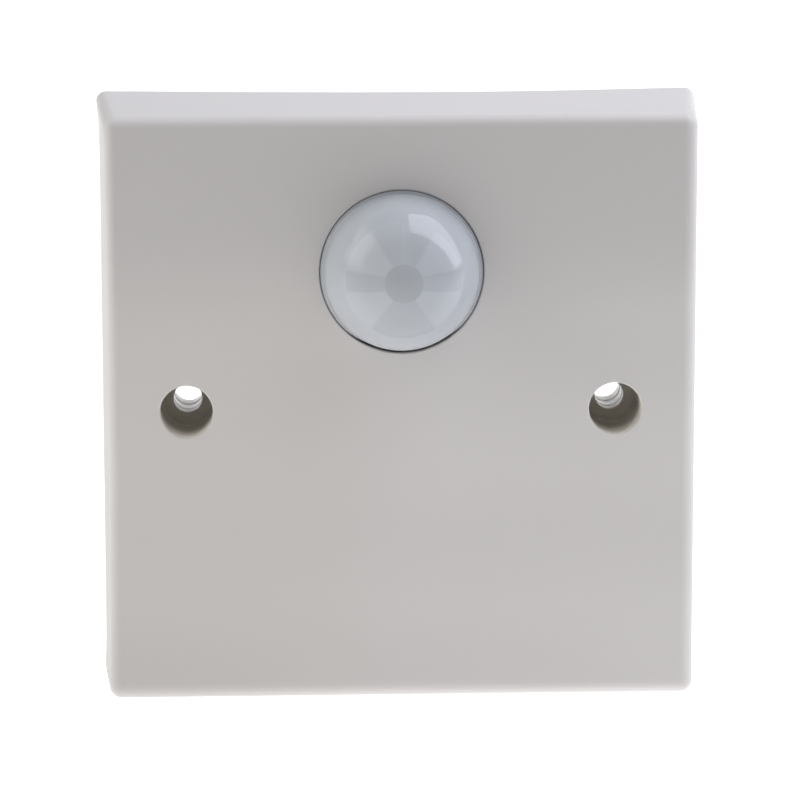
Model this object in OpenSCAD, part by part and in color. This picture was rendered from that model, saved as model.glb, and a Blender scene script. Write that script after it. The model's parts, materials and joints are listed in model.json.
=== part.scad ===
// Motion sensor light switch: a single-gang wall plate with a domed infrared lens.
// Units are millimetres. The wall is the plane Y = 0, the face looks along -Y, Z is up,
// and the origin is midway between the two fixing holes.
//
// Every module below draws in a plate frame first: x to the right, y up, z out of the wall.
// on_wall() then stands that frame upright.

/* [Plate] */
// Width and height of the plate at the wall
plate_w = 86; // [86:0.5:90]
// Depth of the plate from the wall to its face
plate_d = 21; // [20:0.5:23]
// How far each side leans in between the wall and the face
plate_draft = 1.5; // [0.8:0.1:2]
// Radius of the rounded edge round the face
edge_r = 1.75; // [1.2:0.05:2]
// Radius of the four upright corners at the wall
corner_r = 1.4; // [1.2:0.1:3]
// Thickness of the side walls
wall_t = 2.2; // [1.8:0.1:2.4]
// Thickness of the face
face_t = 2.4; // [2:0.1:2.8]

/* [Fixing holes] */
// Distance between the two fixing holes
fix_pitch = 60.3; // [60.2:0.1:61]
// Diameter of the fixing holes
fix_d = 4.1; // [3.8:0.1:4.6]
// Diameter of the screw-head recesses
fix_head_d = 7.4; // [7:0.1:8]
// Depth of the screw-head recesses
fix_head_depth = 11; // [8:0.5:14]

/* [Lens] */
// Height of the lens above the line of the fixing holes
lens_y = 19.6; // [19:0.1:20.5]
// Diameter of the aperture in the face
aperture_d = 23.2; // [22.8:0.1:24]
// Diameter of the domed lens
lens_d = 22; // [21:0.1:22.2]
// Rise of the dome above the face
lens_rise = 10.5; // [9.5:0.1:11]
// Thickness of the lens
lens_t = 0.9; // [0.7:0.1:1.2]

/* [Rear housing] */
// Width of the raised housing that enters the wall box
rear_w = 46; // [45:0.5:47]
// Depth of the raised housing behind the wall plane
rear_d = 8; // [7.5:0.5:14]
// Wall thickness of the rear cover
rear_t = 1.8; // [1.6:0.1:2]

/* [Adjusters] */
// Sideways distance of each adjuster from the centre line
adj_x = 15; // [14.5:0.5:16]
// Diameter of the adjuster spindles
adj_d = 5.8; // [5:0.1:6]

/* [Terminals] */
// Distance between neighbouring terminals
pole_pitch = 7.5; // [7.4:0.1:8]
// Lift of a terminal cage from open to closed
cage_lift = 2.4; // [1.5:0.1:2.4]
// Diameter of the terminal screws
pole_screw_d = 2.9; // [2.5:0.1:3]

/* [Hidden] */
$fn = 48;
eps = 0.01;
// Inside of the face
face_in = plate_d - face_t;
// Centre of the lens dome
lens_c = plate_d + lens_rise - lens_d / 2;
// Foot of the lens: it fills the aperture with a small gap up to the face, then turns in to the dome
foot_d = aperture_d - 0.2;
foot_z = plate_d - 0.1;
foot_top = max(plate_d + 0.4, lens_c);
foot_top_d = 2 * sqrt(pow(lens_d / 2, 2) - pow(foot_top - lens_c, 2)) - 0.2;
// Front and rear of the circuit board
board_t = 1.6;
board_f = face_in - 6;
board_r = board_f - board_t;
board_hw = 24.4;
board_y0 = -31;
board_y1 = 37;
// Rear of the recessed flange of the rear cover, and its thickness
flange_z = 2.4;
flange_t = 2;
cover_hw = 40.1;
// Raised housing: lower and upper edge
rear_y0 = -6;
rear_y1 = 33;
// Screw positions
cover_xy = [for (sx = [-1, 1], sy = [-1, 1]) [sx * 34.5, sy * 34.5]];
board_xy = [[-20, 34], [20, 34], [-20.5, -24], [20.5, -24]];
// Terminal block
pole_x = [-pole_pitch, 0, pole_pitch];
term_y0 = -31;
term_y1 = -19.5;
term_hw = pole_pitch + 4.2;
term_h = 12.5;
pole_y = -25;
// Adjusters
adj_y = -12.5;
// Infrared sensor
pir_z = board_f + 3.4;
pir_lead_r = 2.54;
pir_lead_a = [45, 135, 225];
cell_y = lens_y - 7.3;
// Relay: centre, length up the plate, width across it, height
relay_x = -12.75;
relay_y0 = 10;
relay_l = 19;
relay_w = 15.5;
relay_h = 15.5;
relay_cy = relay_y0 + 7.4;
hinge_u = relay_y0 + 2.0;
// Capacitors
xcap_c = [11.5, 25.5];
ecap_c = [10, 12.5];
tcap_c = [[18.3, 16.5], [18.3, 9]];
varistor_c = [-12.5, 6.5];
// Chips
ic_c = [0, -1];
reg_c = [16.2, 3.8];
diode_x = [-22, -18.6, -15.2, -11.8];
diode_y = -1;
// Resistors: centre, body length, body diameter, half the lead spacing
resistor_list = [
    [-8, 34, 6.3, 2.3, 5], [8, 34, 6.3, 2.3, 5],
    [0, -9.5, 6.3, 2.3, 5], [0, -13, 6.3, 2.3, 5], [0, -16.5, 6.3, 2.3, 5],
    [16, -1, 8.6, 3.4, 5.4]];
relay_pin_xy = [
    [relay_x - 5, relay_y0 + 2.2], [relay_x + 5, relay_y0 + 2.2],
    [relay_x - 4.6, relay_y0 + 12.4], [relay_x + 5.4, relay_y0 + 16.9]];
// Board holes: x, y, diameter
board_holes = concat(
    [for (a = pir_lead_a) [pir_lead_r * cos(a), lens_y + pir_lead_r * sin(a), 0.8]],
    [for (s = [-1, 1]) [s * 1.3, cell_y, 0.8]],
    [for (p = relay_pin_xy) [p[0], p[1], 1.2]],
    [for (s = [-1, 1]) [xcap_c[0] + s * 7.5, xcap_c[1], 1.1]],
    [for (s = [-1, 1]) [ecap_c[0] + s * 2.5, ecap_c[1], 0.9]],
    [for (c = tcap_c, s = [-1, 1]) [c[0], c[1] + s, 0.8]],
    [for (s = [-1, 1]) [varistor_c[0] + s * 2.5, varistor_c[1], 1.0]],
    [for (i = [-3:3], s = [-1, 1]) [ic_c[0] + i * 2.54, ic_c[1] + s * 3.81, 0.8]],
    [for (i = [-1:1]) [reg_c[0] + i * 1.27, reg_c[1], 0.8]],
    [for (x = diode_x, s = [-1, 1]) [x, diode_y + s * 4, 1.0]],
    [for (r = resistor_list, s = [-1, 1]) [r[0] + s * r[4], r[1], 0.9]],
    [for (s = [-1, 1], p = [[-2.5, 3.6], [2.5, 3.6], [0, -3.6]]) [s * adj_x + p[0], adj_y + p[1], 0.9]],
    [for (x = pole_x) [x, term_y1 - 1.3, 1.4]],
    [for (p = board_xy) [p[0], p[1], 2.6]]);

// ---------------------------------------------------------------- helpers

// Stands the plate frame on the wall: z out of the wall becomes -Y, y becomes Z
module on_wall() rotate([90, 0, 0]) children();

// Box from corner to corner
module box(x0, x1, y0, y1, z0, z1)
    translate([x0, y0, z0]) cube([x1 - x0, y1 - y0, z1 - z0]);

// Upright cylinder between two heights
module rod(x, y, z0, z1, d)
    translate([x, y, z0]) cylinder(d = d, h = z1 - z0);

// Flat rectangle with round corners, centred
module rrect(w, h, r) {
    square([w - 2 * r, h], center = true);
    square([w, h - 2 * r], center = true);
    for (sx = [-1, 1], sy = [-1, 1])
        translate([sx * (w / 2 - r), sy * (h / 2 - r)]) circle(r);
}

// Block with round upright corners
module rblock(cx, cy, w, h, z0, z1, r)
    translate([cx, cy, z0]) linear_extrude(z1 - z0) rrect(w, h, r);

// Half width of the drafted plate at a height above the wall
function half_at(z) = plate_w / 2 - plate_draft * z / plate_d;

// Cross recess for a screw head, opening along -z
module cross_recess(w, t, z0, z1) {
    box(-w / 2, w / 2, -t / 2, t / 2, z0, z1);
    box(-t / 2, t / 2, -w / 2, w / 2, z0, z1);
}

// ---------------------------------------------------------------- plate

// Outside of the plate: drafted sides, rounded edge round the face, flat at face and wall
module plate_outside() {
    tilt = atan(plate_draft / plate_d);
    c = half_at(plate_d) + edge_r * tan(tilt) - edge_r / cos(tilt);
    b = half_at(-1) - corner_r;
    intersection() {
        hull() for (sx = [-1, 1], sy = [-1, 1]) {
            translate([sx * c, sy * c, plate_d - edge_r + eps]) sphere(edge_r, $fn = 32);
            translate([sx * b, sy * b, -1]) cylinder(r = corner_r, h = eps, $fn = 32);
        }
        box(-60, 60, -60, 60, 0, plate_d);
    }
}

// Hollow behind the face
module plate_inside() {
    f = half_at(face_in) - wall_t - 1;
    b = half_at(-1) - wall_t - 1;
    hull() for (sx = [-1, 1], sy = [-1, 1]) {
        translate([sx * f, sy * f, face_in - eps]) cylinder(r = 1, h = eps, $fn = 32);
        translate([sx * b, sy * b, -1]) cylinder(r = 1, h = eps, $fn = 32);
    }
}

// Moulded plate: face, walls, fixing pillars, lens collar, posts and bosses
module front_plate() color("#d8d5cf") on_wall() difference() {
    union() {
        difference() {
            plate_outside();
            plate_inside();
        }
        // fixing pillars down to the wall, each with a rib to its side wall
        for (s = [-1, 1]) {
            rod(s * fix_pitch / 2, 0, 0, plate_d - 1, 10.6);
            box(min(s * 34, s * 40), max(s * 34, s * 40), -0.8, 0.8, face_in - 6, plate_d - 1);
        }
        // collar round the lens flange
        rod(0, lens_y, face_in - 4, plate_d - 1, 30.5);
        // posts under the circuit board
        for (p = board_xy) rod(p[0], p[1], board_f, plate_d - 1, 5.6);
        // bosses under the rear cover
        for (p = cover_xy) rod(p[0], p[1], flange_z + flange_t, plate_d - 1, 7);
    }
    for (s = [-1, 1]) {
        rod(s * fix_pitch / 2, 0, -1, plate_d, fix_d);
        rod(s * fix_pitch / 2, 0, plate_d - fix_head_depth, plate_d + 1, fix_head_d);
    }
    // lens aperture and the seat for the lens flange, with an orientation key left standing
    rod(0, lens_y, face_in - 5, plate_d + 1, aperture_d);
    difference() {
        rod(0, lens_y, face_in - 5, face_in, 27.3);
        box(-0.8, 0.8, lens_y - 14, lens_y - 12.5, face_in - 1.2, face_in + 1);
    }
    // windows in the collar for the retainer's nibs
    for (a = [90, 210, 330]) translate([0, lens_y, 0]) rotate([0, 0, a])
        box(13, 16, -1.8, 1.8, face_in - 3, face_in - 1.4);
    for (p = board_xy) rod(p[0], p[1], board_f - 1, board_f + 4.5, 1.9);
    for (p = cover_xy) rod(p[0], p[1], 0, flange_z + flange_t + 9, 2.4);
}

// ---------------------------------------------------------------- lens

// Translucent dome on a tapered foot with a keyed flange; ring steps on the inside
module fresnel_lens() color("#d5dae2") on_wall() translate([0, lens_y, 0]) difference() {
    union() {
        difference() {
            translate([0, 0, lens_c]) sphere(d = lens_d);
            box(-20, 20, -20, 20, lens_c - 20, lens_c);
        }
        rod(0, 0, face_in - 1.3, lens_c, lens_d);
        rod(0, 0, face_in - 1.3, foot_z, foot_d);
        translate([0, 0, foot_z]) cylinder(d1 = foot_d, d2 = foot_top_d, h = foot_top - foot_z);
        rod(0, 0, face_in - 1.3, face_in, 26.8);
    }
    difference() {
        translate([0, 0, lens_c]) sphere(d = lens_d - 2 * lens_t);
        box(-20, 20, -20, 20, lens_c - 20, lens_c);
    }
    rod(0, 0, face_in - 2, lens_c, lens_d - 2 * lens_t);
    // ring steps between the zones of lenslets
    for (a = [14.4, 31, 47, 64])
        translate([0, 0, lens_c + (lens_d / 2 - lens_t) * cos(a)])
            rotate_extrude() translate([(lens_d / 2 - lens_t) * sin(a) - 0.12, -0.12]) square(0.3);
    box(-1, 1, -14, -12.3, face_in - 2, face_in + 1);
}

// Ring that snaps into the collar behind the lens flange
module lens_retainer() color("#c9c8c4") on_wall() translate([0, lens_y, 0]) {
    difference() {
        rod(0, 0, face_in - 3, face_in - 1.3, 26.8);
        rod(0, 0, face_in - 4, face_in, 20.6);
    }
    for (a = [90, 210, 330]) rotate([0, 0, a])
        box(12.6, 14.4, -1.5, 1.5, face_in - 2.8, face_in - 1.7);
}

// ---------------------------------------------------------------- infrared sensor

// Spacer ring between the board and the sensor
module sensor_holder() color("#2b2b2d") on_wall() translate([0, lens_y, 0]) difference() {
    rod(0, 0, board_f, pir_z, 9.6);
    rod(0, 0, board_f - 1, pir_z + 1, 7.2);
}

// Header disc with its locating tab
module pir_header() color("#b9a46a") on_wall() translate([0, lens_y, pir_z]) {
    rod(0, 0, 0, 0.7, 9.1);
    rotate([0, 0, 45]) box(4.2, 5.3, -0.4, 0.4, 0, 0.35);
}

// Drawn metal can with a rectangular opening in its end
module pir_can() color("#bfc2c6") on_wall() translate([0, lens_y, pir_z]) difference() {
    rod(0, 0, 0.7, 4.2, 8.2);
    rod(0, 0, 0, 3.8, 7.5);
    box(-2.3, 2.3, -1.7, 1.7, 3, 5);
}

// Infrared filter glued behind the opening
module pir_window() color("#33302e") on_wall() translate([0, lens_y, pir_z])
    box(-2.8, 2.8, -2.2, 2.2, 3.3, 3.8);

// Ceramic carrier with two sensing strips on posts
module pir_element() color("#e3ddd0") on_wall() translate([0, lens_y, pir_z]) {
    box(-1.8, 1.8, -1.2, 1.2, 2.1, 2.5);
    for (s = [-1, 1]) {
        box(s * 1 - 0.5, s * 1 + 0.5, -1, 1, 2.4, 2.6);
        rod(s * 1.3, 0, 0.7, 2.2, 0.6);
    }
}

// Three leads through the board
module pir_leads() color("#c7a94f") on_wall() translate([0, lens_y, 0])
    for (a = pir_lead_a)
        rod(pir_lead_r * cos(a), pir_lead_r * sin(a), board_r - 1.1, pir_z, 0.45);

// Light-level cell on two leads
module photocell() color("#c98a3c") on_wall() translate([0, cell_y, 0]) {
    rod(0, 0, board_f + 3.9, board_f + 5.9, 4.3);
    for (s = [-1, 1]) rod(s * 1.3, 0, board_r - 1.1, board_f + 4, 0.5);
}

// ---------------------------------------------------------------- circuit board

// Board between the fixing pillars, drilled for every lead and screw
module circuit_board() color("#2e6b3c") on_wall() difference() {
    rblock(0, (board_y0 + board_y1) / 2, 2 * board_hw, board_y1 - board_y0, board_r, board_f, 1.5);
    for (h = board_holes) rod(h[0], h[1], board_r - 1, board_f + 1, h[2]);
}

// ---------------------------------------------------------------- adjusters

// Trimmer body with a round well for its rotor
module trimmer_body(x) translate([x, adj_y, board_r]) {
    difference() {
        rblock(0, 0, 9.6, 9.6, -4.8, 0, 0.6);
        rod(0, 0, -6, -2.6, 7);
    }
    for (p = [[-2.5, 3.6], [2.5, 3.6], [0, -3.6]]) rod(p[0], p[1], -0.4, board_t + 1.2, 0.7);
}

// Trimmer rotor with a hexagon socket
module trimmer_rotor(x) translate([x, adj_y, board_r]) difference() {
    rod(0, 0, -4.6, -2.65, 6.8);
    translate([0, 0, -6]) cylinder(d = 3.6, h = 5, $fn = 6);
}

// Spindle with a hexagon end in the rotor and a screwdriver slot at the back
module spindle(x) translate([x, adj_y, 0]) difference() {
    union() {
        rod(0, 0, flange_z - 1, board_r - 4.9, adj_d);
        translate([0, 0, board_r - 5]) cylinder(d = 3.5, h = 2.3, $fn = 6);
    }
    box(-4, 4, -0.5, 0.5, flange_z - 2, flange_z + 0.3);
    // pointer notch at one end of the slot
    box(-0.9, 0.9, 1.7, 4, flange_z - 2, flange_z - 0.6);
}

module time_trimmer_body() color("#2f5fa8") on_wall() trimmer_body(-adj_x);
module time_trimmer_rotor() color("#e9e7df") on_wall() trimmer_rotor(-adj_x);
module time_spindle() color("#e9e7df") on_wall() spindle(-adj_x);
module lux_trimmer_body() color("#2f5fa8") on_wall() trimmer_body(adj_x);
module lux_trimmer_rotor() color("#e9e7df") on_wall() trimmer_rotor(adj_x);
module lux_spindle() color("#e9e7df") on_wall() spindle(adj_x);

// ---------------------------------------------------------------- terminals

// Terminal block: one chamber per pole, open to the wires below and to the screwdriver behind
module terminal_housing() color("#3b3d40") on_wall() difference() {
    rblock(0, (term_y0 + term_y1) / 2, 2 * term_hw, term_y1 - term_y0, board_r - term_h, board_r, 0.5);
    for (x = pole_x) translate([x, pole_y, board_r]) {
        // cage chamber
        box(-2.8, 2.8, -2.9, 2.9, -9.35, -0.4);
        // shaft hole and head well
        rod(0, 0, -10, -9, 3.4);
        rod(0, 0, -term_h - 1, -9.8, 4.8);
        // wire mouth with a flared lip
        box(-2.2, 2.2, -7, -2, -5.2, -1.2);
        translate([0, term_y0 - pole_y, -3.2]) rotate([-90, 0, 0])
            cylinder(d1 = 6.4, d2 = 4.4, h = 1.4);
        // slot for the contact bar and its leg
        box(-1.8, 1.8, -3.6, 5, -5.5, -4.5);
        box(-1.8, 1.8, 3.6, 5, -5.5, 1);
    }
}

// Contact bar of each pole with its leg and board pin
module terminal_contacts() color("#c9a35a") on_wall()
    for (x = pole_x) translate([x, pole_y, board_r]) {
        box(-1.7, 1.7, -3.5, 4.7, -5.4, -4.6);
        box(-1.7, 1.7, 3.8, 4.7, -5.4, -0.3);
        rod(0, term_y1 - 1.3 - pole_y, -0.5, board_t + 1.2, 0.8);
    }

// Rising cage: a metal loop round the contact bar, threaded on the screw
module cage(x) translate([x, pole_y, board_r]) difference() {
    box(-2.5, 2.5, -2.6, 2.6, -6.9, -0.6);
    box(-1.8, 1.8, -3, 3, -5.9, -1.6);
    rod(0, 0, -8, -5, pole_screw_d + 0.12);
}

// Terminal screw with a slotted head
module pole_screw(x) translate([x, pole_y, board_r]) difference() {
    union() {
        rod(0, 0, -10, -5.45, pole_screw_d);
        rod(0, 0, -11.2, -9.8, 4.2);
        translate([0, 0, -11.6]) cylinder(d1 = 3.6, d2 = 4.2, h = 0.4);
    }
    box(-3, 3, -0.4, 0.4, -12, -10.7);
}

module terminal_cage_live() color("#b98f45") on_wall() cage(pole_x[0]);
module terminal_cage_neutral() color("#b98f45") on_wall() cage(pole_x[1]);
module terminal_cage_load() color("#b98f45") on_wall() cage(pole_x[2]);
module terminal_screw_live() color("#c4c6c8") on_wall() pole_screw(pole_x[0]);
module terminal_screw_neutral() color("#c4c6c8") on_wall() pole_screw(pole_x[1]);
module terminal_screw_load() color("#c4c6c8") on_wall() pole_screw(pole_x[2]);

// ---------------------------------------------------------------- relay

// Places the relay: x across, y along from the hinge end, z up from the board's rear, negative
module at_relay() translate([relay_x, 0, board_r]) children();

// Moulded base inside the foot of the case
module relay_base() color("#26282b") on_wall() difference() {
    at_relay() rblock(0, relay_y0 + relay_l / 2, relay_w - 1.8, relay_l - 1.8, -1.4, 0, 0.4);
    for (p = relay_pin_xy) rod(p[0], p[1], board_r - 2, board_r + 1, 1.05);
}

// Case: five-sided cover
module relay_case() color("#2c5fa3") on_wall() at_relay() difference() {
    rblock(0, relay_y0 + relay_l / 2, relay_w, relay_l, -relay_h, -0.2, 0.8);
    rblock(0, relay_y0 + relay_l / 2, relay_w - 1.6, relay_l - 1.6, -relay_h + 0.8, 1, 0.5);
}

// Spool of the coil
module relay_bobbin() color("#e8e4d8") on_wall() at_relay() translate([0, relay_cy, 0]) difference() {
    union() {
        rod(0, 0, -3.2, -2.4, 8.4);
        rod(0, 0, -10.8, -10, 8.4);
        rod(0, 0, -10.5, -2.6, 4);
    }
    rod(0, 0, -12, 0, 3.1);
}

// Copper winding
module relay_winding() color("#b5652f") on_wall() at_relay() translate([0, relay_cy, 0]) difference() {
    rod(0, 0, -9.95, -3.25, 7.6);
    rod(0, 0, -12, 0, 4.1);
}

// Iron core through the coil and the foot of the yoke
module relay_core() color("#9fa3a7") on_wall() at_relay()
    rod(0, relay_cy, -11.2, -1.5, 3);

// L-shaped yoke; its upper edge is round and carries the armature
module relay_yoke() color("#8f9398") on_wall() at_relay() difference() {
    union() {
        box(-4.5, 4.5, hinge_u - 0.5, relay_cy + 4.2, -2.4, -1.4);
        box(-4.5, 4.5, hinge_u - 0.5, hinge_u + 0.5, -11.75, -1.4);
        translate([-4.5, hinge_u, -11.75]) rotate([0, 90, 0]) cylinder(r = 0.5, h = 9);
    }
    rod(0, relay_cy, -4, 0, 3.1);
}

// Armature plate with a round groove over the yoke's edge
module relay_armature() color("#a4a8ac") on_wall() at_relay() difference() {
    box(-4.4, 4.4, hinge_u - 0.85, relay_cy + 3.4, -12.75, -11.75);
    translate([-6, hinge_u, -11.75]) rotate([0, 90, 0]) cylinder(r = 0.56, h = 12);
}

// Contact spring on the armature with its contact button
module relay_contact_spring() color("#c98f52") on_wall() at_relay() {
    box(-2, 2, hinge_u - 0.4, relay_y0 + 17.3, -13, -12.75);
    rod(0, relay_y0 + 15.9, -12.8, -12, 2.4);
}

// Fixed contact on its post
module relay_fixed_contact() color("#c98f52") on_wall() at_relay() {
    rod(0, relay_y0 + 15.9, -10.85, -10.2, 2.4);
    box(-1.6, 1.6, relay_y0 + 14.4, relay_y0 + 17.6, -10.3, -9.7);
    box(-1.6, 1.6, relay_y0 + 16.9, relay_y0 + 17.6, -10.3, -1.4);
}

// Pins through base and board
module relay_pins() color("#c4c6c8") on_wall()
    for (p = relay_pin_xy) rod(p[0], p[1], board_r - 1.4, board_f + 1.2, 0.9);

// ---------------------------------------------------------------- other parts on the board

// Boxed film capacitor
module suppression_capacitor() color("#d8b23a") on_wall() translate([xcap_c[0], xcap_c[1], board_r]) {
    rblock(0, 0, 18, 7, -13, -0.3, 0.5);
    for (s = [-1, 1]) rod(s * 7.5, 0, -0.5, board_t + 1.2, 0.8);
}

// Sleeved electrolytic capacitor, rolled in near its foot
module ecap(c, d, h, pitch, along) translate([c[0], c[1], board_r]) {
    difference() {
        rod(0, 0, -h, -0.4, d);
        translate([0, 0, -2.2]) rotate_extrude() translate([d / 2, 0]) circle(0.5);
        translate([0, 0, -h - 0.5]) cross_recess(d * 0.7, 0.5, 0, 0.7);
    }
    for (s = [-1, 1]) rod(along ? s * pitch / 2 : 0, along ? 0 : s * pitch / 2, -0.6, board_t + 1.2, 0.6);
}

module smoothing_capacitor() color("#23304f") on_wall() ecap(ecap_c, 10, 14, 5, true);
module timing_capacitors() color("#1d1f24") on_wall() for (c = tcap_c) ecap(c, 5, 11, 2, false);

// Disc varistor standing on two leads
module varistor() color("#2b5aa0") on_wall() translate([varistor_c[0], varistor_c[1], board_r]) {
    translate([0, 1.8, -5.5]) rotate([90, 0, 0]) cylinder(d = 9, h = 3.6);
    for (s = [-1, 1]) rod(s * 2.5, 0, -3, board_t + 1.2, 0.7);
}

// Dual-in-line control chip
module control_ic() color("#242527") on_wall() translate([ic_c[0], ic_c[1], board_r]) {
    difference() {
        box(-9.6, 9.6, -3.2, 3.2, -3.8, -0.5);
        rod(-9.6, 0, -4, -3.5, 1.8);
    }
    for (i = [-3:3], s = [-1, 1]) {
        box(i * 2.54 - 0.7, i * 2.54 + 0.7, min(s * 3.1, s * 4), max(s * 3.1, s * 4), -2.3, -2);
        box(i * 2.54 - 0.25, i * 2.54 + 0.25, s * 3.81 - 0.18, s * 3.81 + 0.18, -2.2, board_t + 1);
    }
}

// Three-lead voltage regulator
module voltage_regulator() color("#242527") on_wall() translate([reg_c[0], reg_c[1], board_r]) {
    difference() {
        rod(0, 0, -7.4, -2.8, 4.6);
        box(-3, 3, -3, -1.2, -8, -2);
    }
    for (i = [-1:1]) rod(i * 1.27, 0, -3, board_t + 1.2, 0.5);
}

// Diode along y with bent leads
module diode(x) translate([x, diode_y, board_r]) {
    translate([0, 2.6, -1.6]) rotate([90, 0, 0]) cylinder(d = 2.7, h = 5.2);
    translate([0, 4.35, -1.6]) rotate([90, 0, 0]) cylinder(d = 0.7, h = 8.7);
    for (s = [-1, 1]) rod(0, s * 4, -1.6, board_t + 1.2, 0.7);
}
module rectifier_diodes() color("#1f2022") on_wall() for (x = diode_x) diode(x);

// Resistor along x with bent leads
module resistor(r) translate([r[0], r[1], board_r - r[3] / 2 - 0.2]) {
    translate([-r[2] / 2, 0, 0]) rotate([0, 90, 0]) cylinder(d = r[3], h = r[2]);
    translate([-r[4] - 0.3, 0, 0]) rotate([0, 90, 0]) cylinder(d = 0.6, h = 2 * r[4] + 0.6);
    for (s = [-1, 1]) rod(s * r[4], 0, 0, r[3] / 2 + 0.2 + board_t + 1.2, 0.6);
}
module resistors() color("#c7b083") on_wall() for (r = resistor_list) resistor(r);

// ---------------------------------------------------------------- rear cover and screws

// Rear cover: recessed flange, raised housing, wiring pocket, adjuster dials and terminal opening
module rear_cover() color("#d3d0ca") on_wall() difference() {
    union() {
        rblock(0, 0, 2 * cover_hw, 2 * cover_hw, flange_z, flange_z + flange_t, 2.5);
        rblock(0, (rear_y0 + rear_y1) / 2, rear_w, rear_y1 - rear_y0, -rear_d, flange_z + 1, 3);
        // wiring pocket in front of the terminal mouths
        box(-15.4, 15.4, -39.4, -31.3, flange_z + 1, board_r + 1.2);
        // rim round the terminal block
        box(-13.5, 13.5, -31.3, -17.7, flange_z - 1, flange_z + flange_t);
        // dial rings and scale bars round the adjusters
        for (s = [-1, 1]) translate([s * adj_x, adj_y, 0]) {
            rod(0, 0, flange_z - 0.7, flange_z + 1, adj_d + 2.6);
            for (i = [-5:5]) rotate([0, 0, i * 26])
                box(-0.2, 0.2, 4.6, abs(i) == 5 || i == 0 ? 6.2 : 5.6, flange_z - 0.35, flange_z + 1);
        }
        // seats round the cover screws
        for (p = cover_xy) rod(p[0], p[1], flange_z, flange_z + flange_t, 8);
    }
    rblock(0, (rear_y0 + rear_y1) / 2, rear_w - 2 * rear_t, rear_y1 - rear_y0 - 2 * rear_t,
        -rear_d + rear_t, flange_z + flange_t + 1, 1.6);
    box(-14, 14, -38, -30, flange_z - 2, board_r - 0.2);
    box(-term_hw - 0.3, term_hw + 0.3, term_y0 - 1, term_y1 + 0.3, -rear_d, board_r - 0.2);
    for (s = [-1, 1]) {
        rod(s * fix_pitch / 2, 0, 0, 6, 11.4);
        rod(s * adj_x, adj_y, 0, 6, adj_d + 0.5);
    }
    for (p = cover_xy) rod(p[0], p[1], 0, 6, 2.9);
}

// Pan-head screw pointing out of the wall, head below the given seat height
module pan_screw(p, seat, head_d, head_h, d, len) translate([p[0], p[1], seat]) difference() {
    union() {
        rod(0, 0, -head_h * 0.55, 0, head_d);
        translate([0, 0, -head_h]) cylinder(d1 = head_d * 0.66, d2 = head_d, h = head_h * 0.45);
        rod(0, 0, -0.1, len - d / 2, d);
        translate([0, 0, len - d / 2 - eps]) cylinder(d1 = d, d2 = d * 0.3, h = d / 2);
    }
    translate([0, 0, -head_h - 1]) cross_recess(head_d * 0.56, 0.6, 0, 1.9);
}

module cover_screws() color("#b7babd") on_wall()
    for (p = cover_xy) pan_screw(p, flange_z, 5.2, 1.8, 2.3, 9.5);

module board_screws() color("#b7babd") on_wall()
    for (p = board_xy) pan_screw(p, board_r, 4, 1.5, 1.8, 5.4);

// ---------------------------------------------------------------- assembly

front_plate();
fresnel_lens();
lens_retainer();
sensor_holder();
pir_header();
pir_can();
pir_window();
pir_element();
pir_leads();
photocell();
circuit_board();
time_trimmer_body();
time_trimmer_rotor();
time_spindle();
lux_trimmer_body();
lux_trimmer_rotor();
lux_spindle();
terminal_housing();
terminal_contacts();
terminal_cage_live();
terminal_cage_neutral();
terminal_cage_load();
terminal_screw_live();
terminal_screw_neutral();
terminal_screw_load();
relay_base();
relay_case();
relay_bobbin();
relay_winding();
relay_core();
relay_yoke();
relay_armature();
relay_contact_spring();
relay_fixed_contact();
relay_pins();
suppression_capacitor();
smoothing_capacitor();
timing_capacitors();
varistor();
control_ic();
voltage_regulator();
rectifier_diodes();
resistors();
rear_cover();
cover_screws();
board_screws();
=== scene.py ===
import json
import math

import bmesh
import bpy
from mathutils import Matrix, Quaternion, Vector
from mathutils.geometry import delaunay_2d_cdt


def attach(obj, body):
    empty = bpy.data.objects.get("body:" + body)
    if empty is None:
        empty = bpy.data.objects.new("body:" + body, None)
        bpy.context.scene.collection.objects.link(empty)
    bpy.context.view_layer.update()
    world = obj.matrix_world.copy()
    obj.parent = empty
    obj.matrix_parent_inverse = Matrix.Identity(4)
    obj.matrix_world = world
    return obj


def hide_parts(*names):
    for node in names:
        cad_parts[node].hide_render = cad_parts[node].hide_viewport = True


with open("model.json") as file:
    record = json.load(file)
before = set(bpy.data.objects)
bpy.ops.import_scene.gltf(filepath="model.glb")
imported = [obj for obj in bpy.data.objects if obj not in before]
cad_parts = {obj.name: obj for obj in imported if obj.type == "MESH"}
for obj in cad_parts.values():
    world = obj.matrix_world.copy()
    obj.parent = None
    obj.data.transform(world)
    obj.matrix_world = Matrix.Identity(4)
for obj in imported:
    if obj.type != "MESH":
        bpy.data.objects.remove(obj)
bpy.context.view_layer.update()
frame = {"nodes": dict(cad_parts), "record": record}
NODES = frame["nodes"]
RECORD = frame["record"]
SC = bpy.context.scene
MM = 0.001

# ------------------------------------------------------------------ sizes, in millimetres
# Plate frame: x to the right, y up, z out of the wall. row() turns it into the row frame.
PLATE_HW = 43.0
PLATE_D = 21.0
DRAFT = 1.5
EDGE_R = 1.75
WALL_T = 2.2
FACE_IN = 18.6
FIX_X = 30.15
FIX_R = 2.05
HEAD_R = 3.7
HEAD_DEPTH = 11.0
LENS_X = 0.13
LENS_Y = 19.6
APERTURE_R = 11.5
LENS_R = 11.0
LENS_C = 20.5
LENS_T = 0.9
FOOT_R = 11.42
BOARD_F = 12.6
FLANGE_FRONT = 4.4


def row(p):
    return (p[0] * MM, -p[2] * MM, p[1] * MM)


# ------------------------------------------------------------------ node expressions


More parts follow.
